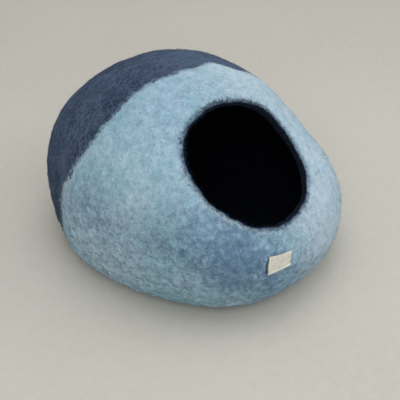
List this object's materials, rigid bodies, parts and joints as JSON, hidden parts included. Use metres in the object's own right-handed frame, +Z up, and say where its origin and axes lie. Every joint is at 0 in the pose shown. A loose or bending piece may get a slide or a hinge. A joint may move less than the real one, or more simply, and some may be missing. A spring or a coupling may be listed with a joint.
{
  "type": "felt cat cave",
  "caption": "Egg-shaped felt cave for a cat: one seamless hollow shell, flat underneath, with a round mouth in its sloping front and a small sewn-on cloth label.",
  "frame": {"origin": "middle of the footprint's bounding box, on the ground the cave stands on", "axes": "+Z up, +Y from the mouth towards the closed back, +X to the right of someone who faces the mouth"},
  "size_m": [0.3758, 0.449, 0.2823],
  "materials": {
    "wool_felt": "matt felted wool, light grey-blue in front and navy behind, at the lip and inside",
    "cotton_tape": "matt unbleached cotton"
  },
  "bodies": {
    "root": {"cave_shell": "wool_felt", "label": "cotton_tape"}
  },
  "joints": []
}
